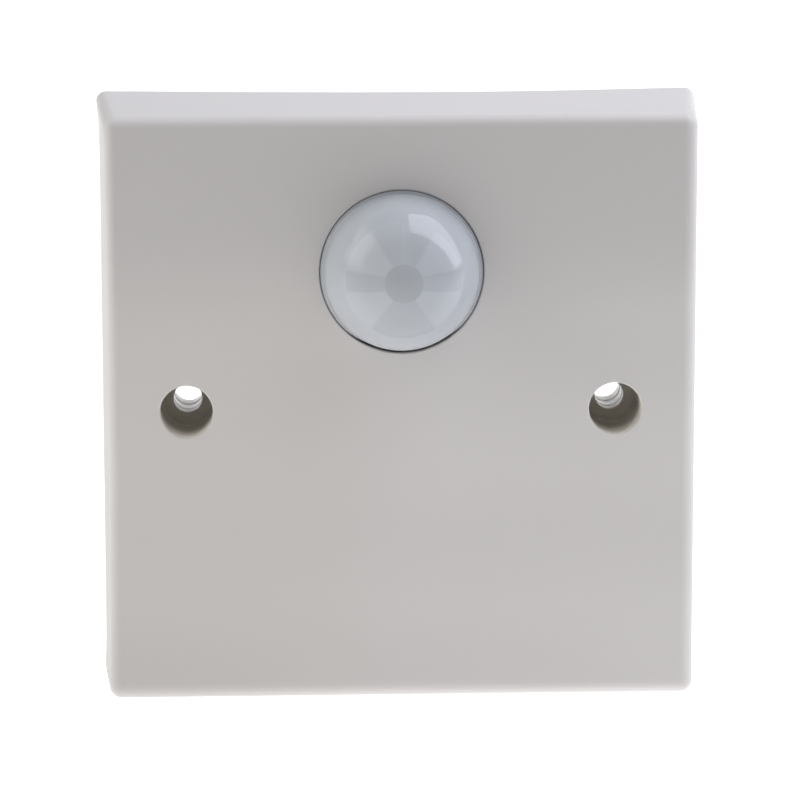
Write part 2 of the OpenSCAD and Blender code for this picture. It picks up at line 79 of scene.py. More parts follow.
class Ex:
    """A socket with arithmetic, so that a mask reads like a formula."""

    def __init__(self, tree, sock):
        self.t = tree
        self.s = sock

    def _op(self, op, *others, clamp=False):
        n = self.t.nodes.new("ShaderNodeMath")
        n.operation = op
        n.use_clamp = clamp
        for i, v in enumerate((self,) + others):
            if isinstance(v, Ex):
                self.t.links.new(v.s, n.inputs[i])
            else:
                n.inputs[i].default_value = float(v)
        return Ex(self.t, n.outputs[0])

    def __add__(self, o):
        return self._op("ADD", o)

    __radd__ = __add__

    def __sub__(self, o):
        return self._op("SUBTRACT", o)

    def __rsub__(self, o):
        return (self * -1.0) + o

    def __mul__(self, o):
        return self._op("MULTIPLY", o)

    __rmul__ = __mul__

    def __truediv__(self, o):
        return self._op("DIVIDE", o)

    def abs(self):
        return self._op("ABSOLUTE")

    def sqrt(self):
        return self._op("SQRT")

    def sin(self):
        return self._op("SINE")

    def power(self, o):
        return self._op("POWER", o)

    def atan2(self, o):
        return self._op("ARCTAN2", o)

    def min(self, o):
        return self._op("MINIMUM", o)

    def max(self, o):
        return self._op("MAXIMUM", o)

    def clamp(self):
        return self._op("ADD", 0.0, clamp=True)

    def step(self, edge, soft):
        """0 below edge, 1 above it, smooth over +-soft."""
        n = self.t.nodes.new("ShaderNodeMapRange")
        n.interpolation_type = "SMOOTHSTEP"
        self.t.links.new(self.s, n.inputs["Value"])
        if isinstance(edge, Ex):
            self.t.links.new((edge - soft).s, n.inputs["From Min"])
            self.t.links.new((edge + soft).s, n.inputs["From Max"])
        else:
            n.inputs["From Min"].default_value = edge - soft
            n.inputs["From Max"].default_value = edge + soft
        n.inputs["To Min"].default_value = 0.0
        n.inputs["To Max"].default_value = 1.0
        return Ex(self.t, n.outputs["Result"])

    def band(self, lo, hi, soft):
        return self.step(lo, soft) * (1.0 - self.step(hi, soft))

    def line(self, at, half, soft):
        """1 on a thin line at a value, 0 away from it."""
        return 1.0 - (self - at).abs().step(half, soft)


def new_material(name):
    m = bpy.data.materials.new(name)
    m.use_nodes = True
    t = m.node_tree
    bsdf = t.nodes["Principled BSDF"]
    return m, t, bsdf


def coords(t, scale=1000.0):
    """Object coordinates in millimetres, as one vector socket and three expressions."""
    tc = t.nodes.new("ShaderNodeTexCoord")
    vm = t.nodes.new("ShaderNodeVectorMath")
    vm.operation = "SCALE"
    vm.inputs["Scale"].default_value = scale
    t.links.new(tc.outputs["Object"], vm.inputs[0])
    sep = t.nodes.new("ShaderNodeSeparateXYZ")
    t.links.new(vm.outputs[0], sep.inputs[0])
    return vm.outputs[0], Ex(t, sep.outputs[0]), Ex(t, sep.outputs[1]), Ex(t, sep.outputs[2])


def noise(t, vec, scale, detail=3.0, rough=0.5, distort=0.0):
    n = t.nodes.new("ShaderNodeTexNoise")
    n.inputs["Scale"].default_value = scale
    n.inputs["Detail"].default_value = detail
    n.inputs["Roughness"].default_value = rough
    n.inputs["Distortion"].default_value = distort
    t.links.new(vec, n.inputs["Vector"])
    return Ex(t, n.outputs[0])


def mix_colour(t, fac, a, b):
    n = t.nodes.new("ShaderNodeMix")
    n.data_type = "RGBA"
    n.clamp_factor = True
    if isinstance(fac, Ex):
        t.links.new(fac.s, n.inputs[0])
    else:
        n.inputs[0].default_value = fac
    for i, c in ((6, a), (7, b)):
        if isinstance(c, tuple):
            n.inputs[i].default_value = (c[0], c[1], c[2], 1.0)
        else:
            t.links.new(c, n.inputs[i])
    return n.outputs[2]


def scale_colour(t, c, factor):
    n = t.nodes.new("ShaderNodeVectorMath")
    n.operation = "SCALE"
    t.links.new(c, n.inputs[0])
    t.links.new(factor.s, n.inputs["Scale"])
    return n.outputs[0]


def tint_colour(t, c, k, rgb):
    n = t.nodes.new("ShaderNodeVectorMath")
    n.operation = "MULTIPLY"
    t.links.new(c, n.inputs[0])
    t.links.new(mix_colour(t, k, (1.0, 1.0, 1.0), rgb), n.inputs[1])
    return n.outputs[0]


def bump(t, height, strength, distance, normal=None):
    n = t.nodes.new("ShaderNodeBump")
    n.inputs["Strength"].default_value = strength
    n.inputs["Distance"].default_value = distance
    t.links.new(height.s, n.inputs["Height"])
    if normal is not None:
        t.links.new(normal, n.inputs["Normal"])
    return n.outputs[0]


def shade(c, k):
    return tuple(max(0.0, min(1.0, v * k)) for v in c)


def plastic(name, colour, rough, grain=9.0, depth=0.004, vary=0.035, spec=0.5, sss=0.0):
    """Moulded plastic: faint flow variation, fine grain, slight roughness change."""
    m, t, b = new_material(name)
    vec, x, y, z = coords(t)
    flow = noise(t, vec, 0.09, 2.0, 0.45, 0.6)
    speck = noise(t, vec, 1.7, 2.0, 0.5)
    fine = noise(t, vec, grain, 3.0, 0.6)
    base = mix_colour(t, flow, shade(colour, 1.0 - vary), shade(colour, 1.0 + vary))
    base = mix_colour(t, speck * 0.25, base, shade(colour, 1.0 - 1.6 * vary))
    t.links.new(base, b.inputs["Base Color"])
    t.links.new((fine * 0.10 + (flow * 0.06 + (rough - 0.08))).s, b.inputs["Roughness"])
    t.links.new(bump(t, fine, 0.25, depth * MM), b.inputs["Normal"])
    b.inputs["Specular IOR Level"].default_value = spec
    if sss > 0:
        b.inputs["Subsurface Weight"].default_value = sss
        b.inputs["Subsurface Radius"].default_value = (1.0, 0.9, 0.8)
        b.inputs["Subsurface Scale"].default_value = 0.0012
    return m


def metal(name, colour, rough, stretch=(1.0, 1.0, 1.0), grain=2.5, depth=0.004, vary=0.12):
    """Plated or drawn metal: streaky roughness, faint scratches, duller patches."""
    m, t, b = new_material(name)
    vec, x, y, z = coords(t)
    mp = t.nodes.new("ShaderNodeMapping")
    mp.inputs["Scale"].default_value = stretch
    t.links.new(vec, mp.inputs["Vector"])
    streak = noise(t, mp.outputs[0], grain, 4.0, 0.65)
    patch = noise(t, vec, 0.5, 3.0, 0.55, 0.4)
    base = mix_colour(t, patch, shade(colour, 1.0 - vary), shade(colour, 1.0 + 0.5 * vary))
    t.links.new(base, b.inputs["Base Color"])
    b.inputs["Metallic"].default_value = 1.0
    t.links.new((streak * 0.16 + (patch * 0.10 + (rough - 0.12))).s, b.inputs["Roughness"])
    t.links.new(bump(t, streak, 0.3, depth * MM), b.inputs["Normal"])
    return m


# ------------------------------------------------------------------ materials


def plate_material():
    colour = (0.703, 0.686, 0.661)
    m, t, b = new_material("plate_plastic")
    vec, x, y, z = coords(t)
    flow = noise(t, vec, 0.035, 2.0, 0.45, 0.5)
    cloud = noise(t, vec, 0.16, 3.0, 0.5, 0.3)
    speck = noise(t, vec, 2.4, 2.0, 0.5)
    fine = noise(t, vec, 7.0, 3.0, 0.6)
    base = mix_colour(t, flow, shade(colour, 0.985), shade(colour, 1.012))
    base = mix_colour(t, cloud * 0.35, base, (0.708, 0.682, 0.663))
    base = mix_colour(t, speck.step(0.66, 0.06) * 0.10, base, shade(colour, 0.93))
    # Painted shade: the face is painted darker at the top, lighter in its lower middle and darker again near its bottom
    # edge, as the light falls on it; its lower left is also tinted slightly warmer.
    low = 1.0 - z.step(17.0, 9.0)
    painted_face_shade = low * 0.098 - (1.0 - z.step(-13.0, 7.0)) * 0.050 - (1.0 - z.step(-33.0, 7.0)) * 0.060
    painted_face_shade = painted_face_shade - (1.0 - z.step(-28.0, 9.0)) * (1.0 - x.step(-10.0, 22.0)) * 0.030
    painted_face_shade = painted_face_shade - (1.0 - low) * x.step(8.0, 14.0) * 0.015 + 0.962
    painted_face_shade = painted_face_shade + (z * -1.0).step(30.0, 8.0) * x.step(28.0, 10.0) * 0.030 - z.band(2.0, 12.0, 3.5) * x.step(20.0, 10.0) * 0.033
    front = (y * -1.0).step(20.2, 0.7)
    base = scale_colour(t, base, (painted_face_shade - 1.0) * front + 1.0)
    base = tint_colour(t, base, front * low * (1.0 - x.step(-8.0, 14.0)), (1.000, 0.994, 0.974))
    # Painted light and shade on the edges: the left, top and bottom roundings are painted lighter, the right side and
    # the top wall darker.
    rim = (y * -1.0).step(19.0, 0.7)
    turn = (y * -1.0).step(19.9, 0.6)
    painted_edge_shade = (x * -1.0).step(40.1, 0.6) * (z.step(14.0, 10.0) * 0.050 + 0.012) * turn - x.step(40.7, 0.8) * 0.110 * rim
    painted_edge_shade = painted_edge_shade + z.step(40.4, 0.7) * (x.step(25.0, 12.0) * 0.030 + 0.060) * turn
    painted_edge_shade = painted_edge_shade + (z * -1.0).band(39.3, 41.0, 0.5) * (0.032 - x.step(15.0, 15.0) * 0.030) * rim
    painted_edge_shade = painted_edge_shade - z.step(41.0, 0.3) * (1.0 - rim) * 0.018
    base = scale_colour(t, base, painted_edge_shade + 1.0)
    # Painted shade: the left side wall is painted darker, most towards the face and low down.
    side = (x * -1.0).step(41.0, 0.3) * (1.0 - rim)
    base = scale_colour(t, base, side * (z * 0.0016 + y * 0.0025 - 0.056) + 1.0)
    hx = x.abs() - FIX_X
    hr = (hx * hx + z * z).sqrt()
    recess = (1.0 - hr.step(HEAD_R + 0.12, 0.05)) * y.step(-PLATE_D + 0.45, 0.25)
    # Painted light: the counterbores are painted lighter and warmer than the plate, lighter still near their rim, and
    # darker deeper down as painted shade.
    base = mix_colour(t, recess, base, (0.797, 0.767, 0.702))
    deep = y + PLATE_D
    base = scale_colour(t, base, recess * ((1.0 - deep.step(3.2, 1.6)) * 0.20 - deep.band(4.6, 8.6, 1.2) * 0.26) + 1.0)
    # Painted light and shade: the bores are painted light next to the counterbore and darker towards the wall side.
    painted_bore_light = mix_colour(t, (y * -1.0).step(5.5, 4.0), (0.640, 0.630, 0.606), (0.940, 0.920, 0.882))
    inside = 1.0 - hr.step(FIX_R + 0.11, 0.02)
    base = mix_colour(t, inside, base, painted_bore_light)
    t.links.new(base, b.inputs["Base Color"])
    # the pins that mould the bores are polished
    t.links.new(((fine * 0.08 + (cloud * 0.05 + 0.50)) * (1.0 - inside) + inside * (fine * 0.10 + 0.13)).s, b.inputs["Roughness"])
    n1 = bump(t, cloud, 0.12, 0.030 * MM)
    n2 = bump(t, fine, 0.22, 0.004 * MM, n1)
    t.links.new(n2, b.inputs["Normal"])
    b.inputs["Specular IOR Level"].default_value = 0.25
    b.inputs["Subsurface Weight"].default_value = 0.06
    b.inputs["Subsurface Radius"].default_value = (1.0, 0.85, 0.7)
    b.inputs["Subsurface Scale"].default_value = 0.0008
    return m


def lens_material():
    """Milky moulded lens. The zones follow the lenslets on the inside of the shell."""
    m, t, b = new_material("lens_plastic")
    vec, x, y, z = coords(t)
    x = x - LENS_X
    zz = z - LENS_Y
    rho = (x * x + zz * zz).sqrt()
    ang = zz.atan2(x)  # -pi..pi, 0 to the right
    deg = math.radians
    soft = 0.065
    n_petal = (ang - deg(90)).abs()
    s_petal = (ang + deg(90)).abs()
    in_n = 1.0 - n_petal.step(deg(33), soft)
    in_s = 1.0 - s_petal.step(deg(34), soft)
    side = zz.abs() - 0.10 * x.abs()
    in_ew = (1.0 - side.step(0.75, 0.20)) * x.abs().step(2.3, 0.2)
    ring = rho.band(2.74, 8.1, 0.10)
    inner = rho.band(2.74, 5.6, 0.30)
    centre = 1.0 - rho.step(2.70, 0.10)
    flank = rho.step(8.1, 0.16)
    lines = (ang - deg(90)).abs().step(deg(1.3), deg(0.7))
    edge = rho.line(8.1, 0.07, 0.10) * (1.0 - x.step(-4.0, 3.0)) + rho.line(2.74, 0.05, 0.07) * 0.4
    cloud = noise(t, vec, 0.5, 2.0, 0.5)
    fine = noise(t, vec, 14.0, 2.0, 0.5)
    light = (0.566, 0.598, 0.625)
    c = mix_colour(t, cloud * 0.5, light, shade(light, 0.97))
    c = mix_colour(t, ring * in_s, c, shade(light, 0.915))
    c = mix_colour(t, ring * in_n, c, shade(light, 0.910))
    c = mix_colour(t, ring * in_ew, c, shade(light, 0.895))
    c = mix_colour(t, inner * in_ew, c, shade(light, 0.900))
    c = mix_colour(t, ring * (1.0 - lines) * 0.25, c, light)
    c = mix_colour(t, centre, c, shade(light, 0.840))
    c = mix_colour(t, flank, c, shade(light, 0.945))
    # Painted shade: the upper rim of the dome is painted darker, where the edge of the aperture shades it.
    c = mix_colour(t, flank * zz.step(7.5, 3.0) * rho.step(10.1, 0.8) * 0.13, c, (0.0, 0.0, 0.0))
    c = mix_colour(t, edge * 0.35, c, shade(light, 1.05))
    # Painted light and shade: the dome is painted lighter towards the top and the left and darker towards the bottom
    # and the right, and lighter in its middle.
    painted_lens_shade = (1.0 - flank) * (zz * 0.0065 - x * 0.0090) + flank * x * -0.009 + 1.0
    glow = (1.0 - rho.step(4.1, 1.5)) * 0.085 + 1.0
    painted_lens_shade = painted_lens_shade * glow
    # Painted shade: under darkens the lower left flank; upper and lower darken the upper right of the ring and the
    # outer lower petal.
    under = (x * -1.0).step(2.5, 2.5) * (zz * -1.0).step(5.0, 3.0) * rho.step(8.8, 0.8)
    upper = x.step(0.8, 0.8) * zz.step(0.8, 0.8) * rho.band(2.7, 7.0, 0.2)
    lower = ring * in_s * (zz * -1.0).step(5.0, 0.8)
    painted_lens_shade = painted_lens_shade * (1.0 - under * 0.04 - upper * 0.045 - lower * 0.035)
    # Painted shade: the lens is painted darker below the face of the plate, where the aperture shades it, and darker
    # still in the gap at its lower side.
    foot = (y * -1.0).step(21.1, 0.3) * 0.15 + 0.85
    foot = foot - (zz * -1.0).step(10.4, 0.4) * (1.0 - (y * -1.0).step(20.9, 0.15)) * 0.35
    c = scale_colour(t, c, painted_lens_shade * foot)
    t.links.new(c, b.inputs["Base Color"])
    t.links.new((fine * 0.03 + 0.045).s, b.inputs["Roughness"])
    b.inputs["IOR"].default_value = 1.45
    b.inputs["Specular IOR Level"].default_value = 0.40
    b.inputs["Subsurface Weight"].default_value = 0.25
    b.inputs["Subsurface Radius"].default_value = (0.9, 0.95, 1.0)
    b.inputs["Subsurface Scale"].default_value = 0.0011
    return m


def board_material():
    """Green solder resist over glass weave, with copper tracks under it."""
    m, t, b = new_material("board_green")
    vec, x, y, z = coords(t)
    weave = ((x * 6.0).sin() * (z * 6.0).sin()) * 0.5 + 0.5
    n = noise(t, vec, 0.35, 3.0, 0.5)
    br = t.nodes.new("ShaderNodeTexBrick")
    br.inputs["Scale"].default_value = 0.32
    br.inputs["Mortar Size"].default_value = 0.045
    br.inputs["Mortar Smooth"].default_value = 0.15
    cmb = t.nodes.new("ShaderNodeCombineXYZ")
    t.links.new((x + n * 1.5).s, cmb.inputs[0])
    t.links.new((z + n * 1.5).s, cmb.inputs[1])
    t.links.new(cmb.outputs[0], br.inputs["Vector"])
    track = Ex(t, br.outputs["Fac"])
    c = mix_colour(t, weave * 0.3 + n * 0.3, (0.018, 0.095, 0.035), (0.030, 0.150, 0.058))
    c = mix_colour(t, track * 0.6, c, (0.055, 0.235, 0.085))
    t.links.new(c, b.inputs["Base Color"])
    t.links.new((n * 0.1 + 0.28).s, b.inputs["Roughness"])
    t.links.new(bump(t, track * 0.6 + weave * 0.1, 0.4, 0.03 * MM), b.inputs["Normal"])
    return m


def winding_material():
    """Enamelled wire laid in close turns."""
    m, t, b = new_material("copper_wire")
    vec, x, y, z = coords(t)
    turns = (y * 24.0).sin() * 0.5 + 0.5
    n = noise(t, vec, 1.2, 2.0, 0.5)
    c = mix_colour(t, turns, (0.20, 0.060, 0.020), (0.62, 0.24, 0.09))
    t.links.new(c, b.inputs["Base Color"])
    b.inputs["Metallic"].default_value = 0.85
    t.links.new((n * 0.12 + 0.22).s, b.inputs["Roughness"])
    t.links.new(bump(t, turns, 0.7, 0.08 * MM), b.inputs["Normal"])
    return m


def resistor_material():
    """Lacquered resistor bodies with plain colour rings."""
    m, t, b = new_material("resistor_tan")
    vec, x, y, z = coords(t)
    n = noise(t, vec, 2.0, 2.0, 0.5)
    c = mix_colour(t, n, (0.52, 0.38, 0.20), (0.64, 0.50, 0.30))
    ripple = (x * 3.6).sin().step(0.72, 0.05)
    c = mix_colour(t, ripple * 0.85, c, (0.16, 0.055, 0.02))
    t.links.new(c, b.inputs["Base Color"])
    t.links.new((n * 0.1 + 0.26).s, b.inputs["Roughness"])
    t.links.new(bump(t, n, 0.2, 0.02 * MM), b.inputs["Normal"])
    return m


MATS = {
    "plate_plastic": plate_material(),
    "lens_plastic": lens_material(),
    "rear_plastic": plastic("rear_plastic", (0.690, 0.680, 0.655), 0.48, 6.0, 0.010, 0.025),
    "black_plastic": plastic("black_plastic", (0.030, 0.030, 0.033), 0.46),
    "gold_metal": metal("gold_metal", (0.78, 0.60, 0.26), 0.30),
    "can_metal": metal("can_metal", (0.66, 0.67, 0.68), 0.28, (0.4, 3.0, 0.4)),
    "filter_glass": plastic("filter_glass", (0.040, 0.034, 0.038), 0.12, 4.0, 0.001),
    "ceramic_white": plastic("ceramic_white", (0.78, 0.76, 0.70), 0.5, 5.0, 0.006),
    "cell_amber": plastic("cell_amber", (0.52, 0.22, 0.06), 0.24),
    "board_green": board_material(),
    "blue_plastic": plastic("blue_plastic", (0.035, 0.110, 0.340), 0.38),
    "white_plastic": plastic("white_plastic", (0.760, 0.750, 0.715), 0.42, 7.0, 0.005, 0.025),
    "terminal_grey": plastic("terminal_grey", (0.085, 0.088, 0.093), 0.42, 6.0, 0.008, 0.06),
    "brass_metal": metal("brass_metal", (0.72, 0.50, 0.20), 0.30),
    "zinc_steel": metal("zinc_steel", (0.64, 0.65, 0.67), 0.30),
    "relay_blue": plastic("relay_blue", (0.035, 0.120, 0.350), 0.36),
    "copper_wire": winding_material(),
    "iron_metal": metal("iron_metal", (0.40, 0.41, 0.42), 0.42),
    "capacitor_yellow": plastic("capacitor_yellow", (0.62, 0.38, 0.035), 0.34),
    "sleeve_navy": plastic("sleeve_navy", (0.020, 0.034, 0.095), 0.28),
    "sleeve_black": plastic("sleeve_black", (0.018, 0.019, 0.023), 0.28),
    "varistor_blue": plastic("varistor_blue", (0.035, 0.115, 0.330), 0.26),
    "chip_black": plastic("chip_black", (0.022, 0.022, 0.024), 0.55, 8.0, 0.012),
    "resistor_tan": resistor_material(),
}

# ------------------------------------------------------------------ mesh building


class Shape:
    """Collects points in the plate frame (mm) and faces, then makes an object."""

    def __init__(self):
        self.v = []
        self.f = []

    def add(self, p):
        self.v.append(p)
        return len(self.v) - 1

    def loop(self, pts):
        return [self.add(p) for p in pts]

    def bridge(self, a, b, flip=False):
        n = len(a)
        for i in range(n):
            j = (i + 1) % n
            q = [a[i], a[j], b[j], b[i]]
            self.f.append(q[::-1] if flip else q)

    def cap(self, a, flip=False):
        self.f.append(a[::-1] if flip else list(a))

    def fill(self, z, outer, holes, facing):
        """Flat face between an outer loop and hole loops, at the height of their points (z is not used); facing +1
        looks out of the wall.
        """
        idx = list(outer)
        edges = [(i, (i + 1) % len(outer)) for i in range(len(outer))]
        for h in holes:
            k = len(idx)
            idx += list(h)
            edges += [(k + i, k + (i + 1) % len(h)) for i in range(len(h))]
        co = [Vector((self.v[i][0], self.v[i][1])) for i in idx]
        out = delaunay_2d_cdt(co, edges, [], 1, 1e-7)
        back = []
        for orig in out[3]:
            back.append(idx[orig[0]] if orig else None)
        polys = [[(self.v[i][0], self.v[i][1]) for i in h] for h in holes]

        def inside(p, poly):
            c = False
            n = len(poly)
            for i in range(n):
                x1, y1 = poly[i]
                x2, y2 = poly[(i + 1) % n]
                if (y1 > p[1]) != (y2 > p[1]) and p[0] < (x2 - x1) * (p[1] - y1) / (y2 - y1) + x1:
                    c = not c
            return c

        for tri in out[2]:
            cx = sum(out[0][i][0] for i in tri) / 3.0
            cy = sum(out[0][i][1] for i in tri) / 3.0
            if any(inside((cx, cy), p) for p in polys):
                continue
            ids = [back[i] for i in tri]
            if None in ids:
                continue
            (ax, ay), (bx, by), (dx, dy) = [self.v[i][:2] for i in ids]
            ccw = (bx - ax) * (dy - ay) - (by - ay) * (dx - ax) > 0
            if ccw != (facing > 0):
                ids = ids[::-1]
            self.f.append(ids)

    def ring(self, cx, cy, r, z, n):
        return self.loop([(cx + r * math.cos(2 * math.pi * i / n), cy + r * math.sin(2 * math.pi * i / n), z)
                          for i in range(n)])

    def revolve(self, cx, cy, profile, n):
        """Rings for a profile of (radius, z), joined in order; returns first and last ring."""
        rings = [self.ring(cx, cy, r, z, n) for r, z in profile]
        for a, b in zip(rings, rings[1:]):
            self.bridge(a, b)
        return rings[0], rings[-1]

    def object(self, name, mat, body, sharp=32.0, weighted=True):
        me = bpy.data.meshes.new(name)
        me.from_pydata([row(p) for p in self.v], [], self.f)
        me.validate()
        bm = bmesh.new()
        bm.from_mesh(me)
        bmesh.ops.remove_doubles(bm, verts=bm.verts, dist=1e-7)
        bmesh.ops.recalc_face_normals(bm, faces=bm.faces)
        bm.to_mesh(me)
        bm.free()
        me.polygons.foreach_set("use_smooth", [True] * len(me.polygons))
        me.set_sharp_from_angle(angle=math.radians(sharp))
        me.materials.append(mat)
        o = bpy.data.objects.new(name, me)
        SC.collection.objects.link(o)
        if weighted:
            w = o.modifiers.new("weighted", "WEIGHTED_NORMAL")
            w.keep_sharp = True
            w.weight = 80
        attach(o, body)
        return o


def arc(cr, cz, r, a0, a1, n):
    """Profile points on an arc about (cr, cz); angle 0 points outwards, 90 out of the wall."""
    return [(cr + r * math.cos(math.radians(a0 + (a1 - a0) * i / n)),
             cz + r * math.sin(math.radians(a0 + (a1 - a0) * i / n))) for i in range(n + 1)]


def bow(k, u):
    """How far the middle of a side is drawn in at the wall; u runs from -1 to 1 anticlockwise along it."""
    if k == 0:
        return 0.14 * (1.0 - abs(u) ** 8)
    if k == 1:
        v = (-u - 0.17) / (0.83 if -u > 0.17 else 1.17)
        return 0.40 * max(0.0, 1.0 - v * v) ** 1.3
    if k == 2:
        return (0.29 - 0.095 * u) * (1.0 - abs(u) ** 16)
    return 0.26 * (1.0 - u * u) ** 1.3


def smooth(v, lo, hi):
    w = min(1.0, max(0.0, (v - lo) / (hi - lo)))
    return w * w * (3.0 - 2.0 * w)


def settle(x, y, z):
    """Slight shrinkage of the face: its left edge is drawn in most, near its middle."""
    k = z / PLATE_D
    v = y - 8.0
    left = max(0.0, 0.48 - (0.00012 if v > 0 else 0.00020) * v * v)
    dx = k * (left * smooth(-x, 10.0, 35.0) - (0.09 - 0.04 * y / 41.5) * smooth(x, 10.0, 35.0))
    dy = k * 0.03 * smooth(x, -20.0, 35.0) * smooth(-y, 10.0, 35.0)
    e = max(0.0, (z - PLATE_D + EDGE_R) / EDGE_R) ** 2
    dx -= 0.18 * e * smooth(x, 10.0, 35.0)
    dy += 0.26 * e * smooth(-y, 10.0, 35.0)
    return (x + dx, y + dy, z)


def perimeter(half, centre, z, ns=36, nc=14):
    """Square loop of half width with round corners about +-centre, bowed in along its sides near the wall."""
    r = half - centre
    k0 = 1.0 - z / PLATE_D
    pts = []
    for k in range(4):
        ang = k * 90.0
        ca, sa = math.cos(math.radians(ang)), math.sin(math.radians(ang))
        for i in range(ns):
            u = -1.0 + 2.0 * i / ns
            lx, ly = half - k0 * bow(k, u), centre * u
            pts.append(settle(lx * ca - ly * sa, lx * sa + ly * ca, z))
        for i in range(nc):
            a = math.radians(ang + 90.0 * i / nc)
            cx, cy = centre, centre
            ox, oy = cx * ca - cy * sa, cx * sa + cy * ca
            pts.append(settle(ox + r * math.cos(a), oy + r * math.sin(a), z))
    return pts


# ------------------------------------------------------------------ front plate


def half_at(z):
    return PLATE_HW - DRAFT * z / PLATE_D


def build_plate():
    s = Shape()
    tilt = math.atan(DRAFT / PLATE_D)
    co = half_at(PLATE_D) + EDGE_R * math.tan(tilt) - EDGE_R / math.cos(tilt)
    corner_face = co - 0.06
    corner_wall = PLATE_HW - 1.4

    def corner_at(z):
        k = min(1.0, z / (PLATE_D - EDGE_R))
        return corner_wall + (corner_face - corner_wall) * k

    # outside, from the inner face over the rim to the front
    loops = []
    for z in (FACE_IN, 12.0, 6.0, 0.45):
        h = half_at(z) - WALL_T
        loops.append(s.loop(perimeter(h, h - 1.0, z)))
    for (r, z) in ((half_at(0) - WALL_T + 0.18, 0.0), (half_at(0) - 0.12, 0.0)):
        loops.append(s.loop(perimeter(r, (r - 1.0) if r < 42 else corner_wall, z)))
    z_tan = PLATE_D - EDGE_R + EDGE_R * math.sin(tilt)
    for z in (0.12, 4.0, 9.0, 14.0, z_tan):
        loops.append(s.loop(perimeter(half_at(z), corner_at(z), z)))
    for i in range(1, 13):
        a = tilt + (math.pi / 2 - tilt) * i / 12
        r, z = co + EDGE_R * math.cos(a), PLATE_D - EDGE_R + EDGE_R * math.sin(a)
        loops.append(s.loop(perimeter(r, corner_face, z)))
    for a, b in zip(loops, loops[1:]):
        s.bridge(a, b)
    inner_loop, face_loop = loops[0], loops[-1]

    # lens aperture and its collar
    lip = 0.26
    prof = arc(APERTURE_R + lip, PLATE_D - lip, lip, 90, 180, 6)
    prof += [(APERTURE_R, FACE_IN + 0.1), (APERTURE_R + 0.1, FACE_IN), (13.65, FACE_IN), (13.65, 14.9), (13.95, 14.6),
             (15.05, 14.6), (15.25, 14.8), (15.25, FACE_IN)]
    ap_face, ap_in = s.revolve(LENS_X, LENS_Y + 0.10, prof, 160)

    # fixing holes and their pillars
    face_holes, in_holes = [ap_face], [ap_in]
    for sx in (-1, 1):
        lip = 0.22
        zb = PLATE_D - HEAD_DEPTH
        prof = arc(HEAD_R + lip, PLATE_D - lip, lip, 90, 180, 5)
        prof += [(HEAD_R, 17.0), (HEAD_R, 13.5), (HEAD_R, zb + 0.25), (HEAD_R - 0.08, zb + 0.07), (HEAD_R - 0.25, zb),
                 (FIX_R + 0.07, zb), (FIX_R + 0.02, zb - 0.03), (FIX_R, zb - 0.10)]
        for zr in (7.4, 3.6):
            prof += [(FIX_R + 0.09, zr), (FIX_R + 0.02, zr - 0.12)]
        prof += [(FIX_R + 0.06, 0.15), (FIX_R + 0.16, 0.0), (5.15, 0.0), (5.3, 0.15), (5.3, 9.0), (5.3, FACE_IN)]
        a, b = s.revolve(sx * FIX_X, 0, prof, 72)
        face_holes.append(a)
        in_holes.append(b)

    # posts under the board and bosses under the rear cover, with blind pilot holes
    for (px, py, r, z0, pr, pz) in (
            [(x, y, 2.8, BOARD_F, 0.95, BOARD_F + 4.5) for x, y in ((-20, 34), (20, 34), (-20.5, -24), (20.5, -24))]
            + [(sx * 34.5, sy * 34.5, 3.5, FLANGE_FRONT, 1.2, 13.4) for sx in (-1, 1) for sy in (-1, 1)]):
        prof = [(pr, pz), (pr, z0 + 0.1), (pr + 0.1, z0), (r - 0.2, z0), (r, z0 + 0.2), (r, FACE_IN)]
        a, b = s.revolve(px, py, prof, 36)
        s.cap(a)
        in_holes.append(b)
    s.fill(PLATE_D, face_loop, face_holes, 1)
    s.fill(FACE_IN, inner_loop, in_holes, -1)
    o = s.object("front_plate_shell", MATS["plate_plastic"], "switch_body")
    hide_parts("front_plate")
    return o


# ------------------------------------------------------------------ lens


